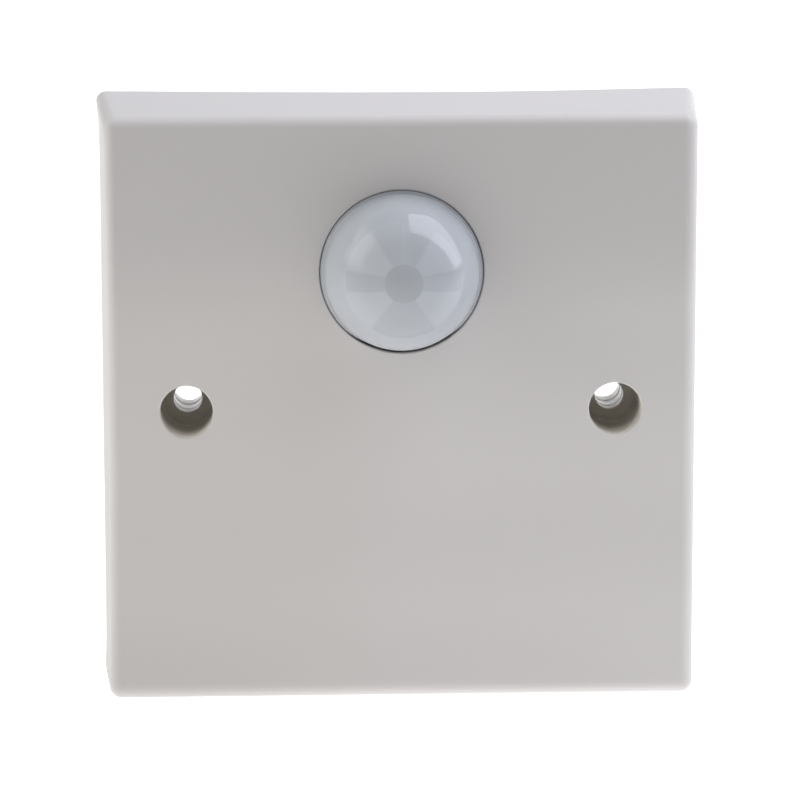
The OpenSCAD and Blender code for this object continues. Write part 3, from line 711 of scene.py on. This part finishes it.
def build_lens():
    """Dome with a smooth outside and shallow lenslets inside, skirt and keyed flange."""
    s = Shape()
    n = 144
    # outside from the flange up to the top of the dome
    prof = [(13.25, 17.3), (13.4, 17.45), (13.4, 18.4), (13.25, 18.55), (FOOT_R + 0.15, 18.55), (FOOT_R + 0.03, 18.6),
            (FOOT_R, 18.75), (FOOT_R, 19.6), (FOOT_R, 20.62), (11.40, 20.76), (11.33, 20.86), (11.21, 20.93),
            (11.09, 21.00), (11.02, 21.12)]
    prof += [(LENS_R * math.cos(math.radians(a)), LENS_C + LENS_R * math.sin(math.radians(a)))
             for a in [4.0 + 2.4 * i for i in range(36)]]
    rings = []
    for r, z in prof:
        pts = []
        for i in range(n):
            a = 2 * math.pi * i / n
            # the foot is relieved over the key at the lower side
            relief = 0.34 * smooth(math.cos(a - math.radians(272.0)), 0.62, 1.00)
            ra = max(11.0, r - relief) if 11.0 < r < 12.0 and z < 21.2 else r
            x, y = ra * math.cos(a), ra * math.sin(a)
            zo, up = z, smooth(math.sin(a), 0.3, 0.9)
            if 11.0 < r < 12.0:
                # the foot stands close to the upper edge of the aperture
                y += (0.08 + 0.05 * up) * smooth(21.15 - z, 0.0, 0.25)
                if 20.6 < z < 21.12:
                    zo = z + 0.28 * (0.4 + 0.6 * up) * (21.12 - z)
            if r > 12.3 and y < 0 and abs(x) < 1.0:
                y = -12.3
            pts.append((LENS_X + x, LENS_Y + y, zo))
        rings.append(s.loop(pts))
    for a, b in zip(rings, rings[1:]):
        s.bridge(a, b)
    top = s.add((LENS_X, LENS_Y, LENS_C + LENS_R))
    last = rings[-1]
    for i in range(n):
        s.f.append([last[i], last[(i + 1) % n], top])

    # inside: thickness changes lenslet by lenslet
    ri = LENS_R - LENS_T
    zones = [(0.0, 14.4, 1), (14.4, 31.0, 8), (31.0, 47.0, 8), (47.0, 64.0, 12), (64.0, 80.0, 12)]

    def depth(theta, phi):
        for t0, t1, count in zones:
            if t0 <= theta <= t1:
                u = (theta - t0) / (t1 - t0) if t0 > 0 else theta / t1
                w = 0.0
                if count > 1:
                    w = abs(((phi / (2 * math.pi) * count + 0.5) % 1.0) - 0.5) * 2.0
                if t0 == 0.0:
                    return 0.26 * (1.0 - u * u)
                return 0.26 * (1.0 - (2 * u - 1) ** 2) * (1.0 - 0.75 * w * w)
        return 0.0

    thetas = sorted(set([i * 1.6 for i in range(1, 56)] + [14.2, 14.6, 30.8, 31.2, 46.8, 47.2, 63.8, 64.2, 79.8, 88.5]))
    inner = []
    for th in thetas:
        pts = []
        for i in range(n):
            ph = 2 * math.pi * i / n
            r = ri - depth(th, ph)
            rr = r * math.sin(math.radians(th))
            pts.append((LENS_X + rr * math.cos(ph), LENS_Y + rr * math.sin(ph),
                        LENS_C + r * math.cos(math.radians(th))))
        inner.append(s.loop(pts))
    for r, z in ((ri, LENS_C - 0.4), (ri, 17.5), (ri + 0.2, 17.3)):
        inner.append(s.ring(LENS_X, LENS_Y, r, z, n))
    for a, b in zip(inner, inner[1:]):
        s.bridge(a, b)
    itop = s.add((LENS_X, LENS_Y, LENS_C + ri - depth(0, 0)))
    for i in range(n):
        s.f.append([inner[0][(i + 1) % n], inner[0][i], itop])
    s.bridge(inner[-1], rings[0])
    o = s.object("fresnel_lens_dome", MATS["lens_plastic"], "switch_body", sharp=40.0, weighted=False)
    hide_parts("fresnel_lens")
    return o


# ------------------------------------------------------------------ carried-over CAD nodes

BEVEL = {
    "rear_cover": 0.30, "terminal_housing": 0.18, "relay_case": 0.25, "suppression_capacitor": 0.3,
    "cover_screws": 0.10, "board_screws": 0.08, "time_spindle": 0.12, "lux_spindle": 0.12,
    "terminal_screw_live": 0.08, "terminal_screw_neutral": 0.08, "terminal_screw_load": 0.08,
}


def dress_cad():
    slots = {s["node"]: s["material_slot"] for s in RECORD["subparts"]}
    for name, o in NODES.items():
        if o.hide_render:
            continue
        mat = MATS[slots[name]]
        if not o.material_slots:
            o.data.materials.append(mat)
        for sl in o.material_slots:
            sl.material = mat
        w = o.modifiers.new("weld", "WELD")
        w.merge_threshold = 2e-6
        b = o.modifiers.new("edges", "BEVEL")
        b.width = BEVEL.get(name, 0.06) * MM
        b.segments = 2
        b.limit_method = "ANGLE"
        b.angle_limit = math.radians(38)
        b.use_clamp_overlap = True
        b.harden_normals = False


# ------------------------------------------------------------------ stage

# light given off by the paper floor: behind the object, near its foot, before it and further out
FLOOR = {
    "back": (0.95, 0.95, 0.95),
    "near_left": (0.582, 0.551, 0.520),
    "near_right": (0.795, 0.767, 0.762),
    "mid_left": (0.424, 0.410, 0.380),
    "mid_right": (0.050, 0.040, 0.034),
    "far": (0.02, 0.02, 0.02),
}
# the room, by its angle from the camera's side and by side
ROOM = {
    "front": (0.062, 0.055, 0.052),
    "inner_top": (0.379, 0.366, 0.349),
    "inner_left": (0.499, 0.493, 0.485),
    "inner_right": (0.012, 0.011, 0.010),
    "outer_top": (0.414, 0.407, 0.398),
    "outer_left": (0.534, 0.529, 0.523),
    "outer_right": (0.015, 0.015, 0.015),
    "back_top": (0.015, 0.015, 0.030),
    "back_side": (0.193, 0.187, 0.186),
    "behind": (1.10, 1.10, 1.10),
    "panel_left": (0.18, 0.18, 0.18),
    "core_left": (1.75, 1.76, 1.79),
}
# name, place, aim, width and length, turn about the aim, power, colour
LIGHTS = (
    ("softbox_right", (0.46, 0.013, 0.46), (0.0, 0.013, 0.0), (0.48, 0.98), 11.0, 5.08, (0.948, 0.969, 1.092)),
)


def add_part(t, c, mask, colour, label):
    """Adds a colour where a mask is 1."""
    n = t.nodes.new("ShaderNodeMix")
    n.data_type = "RGBA"
    n.blend_type = "ADD"
    n.clamp_factor = True
    n.label = label
    t.links.new(mask.s, n.inputs[0])
    if c is None:
        n.inputs[6].default_value = (0.0, 0.0, 0.0, 1.0)
    else:
        t.links.new(c, n.inputs[6])
    n.inputs[7].default_value = (colour[0], colour[1], colour[2], 1.0)
    return n.outputs[2]


def build_stage():
    """Pale paper floor that hands on the studio light: white behind the object, dimmer in front."""
    m, t, b = new_material("floor_paper")
    vec, x, y, z = coords(t)
    n = noise(t, vec, 0.02, 2.0, 0.5)
    c = mix_colour(t, n, (0.86, 0.86, 0.86), (0.88, 0.88, 0.88))
    t.links.new(c, b.inputs["Base Color"])
    b.inputs["Roughness"].default_value = 0.9
    b.inputs["Specular IOR Level"].default_value = 0.1
    back = y.step(45.0, 30.0)
    near = y.step(-120.0, 50.0)
    mid = y.step(-340.0, 80.0)
    right = x.step(0.0, 90.0)
    masks = {
        "back": back,
        "near_left": (near - back) * (1.0 - right),
        "near_right": (near - back) * right,
        "mid_left": (mid - near) * (1.0 - right),
        "mid_right": (mid - near) * right,
        "far": 1.0 - mid,
    }
    glow = None
    for k, mask in masks.items():
        glow = add_part(t, glow, mask, FLOOR[k], "floor " + k)
    t.links.new(glow, b.inputs["Emission Color"])
    b.inputs["Emission Strength"].default_value = 1.0
    me = bpy.data.meshes.new("floor")
    z0 = -0.095
    me.from_pydata([(-6, -3, z0), (6, -3, z0), (6, 9, z0), (-6, 9, z0)], [], [(0, 1, 2, 3)])
    me.materials.append(m)
    o = bpy.data.objects.new("floor", me)
    SC.collection.objects.link(o)


def area(name, loc, aim, size, turn, power, colour=(1, 1, 1)):
    li = bpy.data.lights.new(name, "AREA")
    li.shape = "RECTANGLE"
    li.size, li.size_y = size
    li.energy = power
    li.color = colour
    o = bpy.data.objects.new(name, li)
    SC.collection.objects.link(o)
    o.location = loc
    d = Vector(aim) - Vector(loc)
    q = d.to_track_quat("-Z", "Y") @ Quaternion((0.0, 0.0, 1.0), math.radians(turn))
    o.rotation_euler = q.to_euler()
    return o


def build_light():
    """White tent: dark round the camera, lighter toward the sides and the top, with a softbox on the right."""
    w = bpy.data.worlds.new("studio")
    SC.world = w
    w.use_nodes = True
    t = w.node_tree
    bg = t.nodes["Background"]
    tc = t.nodes.new("ShaderNodeTexCoord")
    sep = t.nodes.new("ShaderNodeSeparateXYZ")
    t.links.new(tc.outputs["Generated"], sep.inputs[0])
    dx, dy, dz = (Ex(t, sep.outputs[i]) for i in range(3))
    toward = dy * -1.0
    rise = dz.atan2(dx * -1.0)
    up = (dz / (dx * dx + dz * dz).sqrt().max(0.001)).step(0.60, 0.25)
    right = (1.0 - up) * dx.step(0.0, 0.15)
    left = (1.0 - up) - right
    front = toward.step(0.80, 0.10)
    inner = toward.step(0.50, 0.12)
    outer = toward.step(0.02, 0.12)
    masks = {
        "front": front,
        "inner_top": (inner - front) * up,
        "inner_left": (inner - front) * left,
        "inner_right": (inner - front) * right,
        "outer_top": (outer - inner) * up,
        "outer_left": (outer - inner) * left,
        "outer_right": (outer - inner) * right,
        "back_top": (1.0 - outer) * up,
        "back_side": (1.0 - outer) * (1.0 - up),
        "behind": dy.step(0.88, 0.05),
        "panel_left": rise.band(0.10, 1.12, 0.10) * dy.band(-0.46, 0.27, 0.05),
        "core_left": rise.band(0.20, 0.90, 0.10) * dy.band(-0.40, 0.40, 0.06),
    }
    c = None
    for k, mask in masks.items():
        c = add_part(t, c, mask, ROOM[k], "room " + k)
    t.links.new(c, bg.inputs["Color"])
    bg.inputs["Strength"].default_value = 1.0
    for name, loc, aim, size, turn, power, colour in LIGHTS:
        area(name, loc, aim, size, turn, power, colour)


def build_camera():
    az, el, roll = math.radians(-1.817), math.radians(10.645), math.radians(-0.166)
    back = Vector((math.sin(az) * math.cos(el), -math.cos(az) * math.cos(el), math.sin(el)))
    fwd = -back
    right = fwd.cross(Vector((0, 0, 1))).normalized()
    up = right.cross(fwd)
    r = right * math.cos(roll) + up * math.sin(roll)
    u = -right * math.sin(roll) + up * math.cos(roll)
    pos = Vector((0.182, -10.0, -0.561)) * MM + back * (575.893 * MM)
    cam = bpy.data.cameras.new("camera")
    cam.sensor_width = 36.0
    cam.lens = 4020.75 * 36.0 / 800.0
    cam.clip_start = 0.01
    o = bpy.data.objects.new("camera", cam)
    SC.collection.objects.link(o)
    m = o.matrix_world.copy()
    for i in range(3):
        m[i][0], m[i][1], m[i][2], m[i][3] = r[i], u[i], back[i], pos[i]
    o.matrix_world = m
    SC.camera = o


build_camera()
build_light()
build_stage()
build_plate()
build_lens()
dress_cad()

SC.view_settings.view_transform = "Standard"
SC.view_settings.look = "None"
SC.view_settings.exposure = 0.0
SC.view_settings.gamma = 1.0
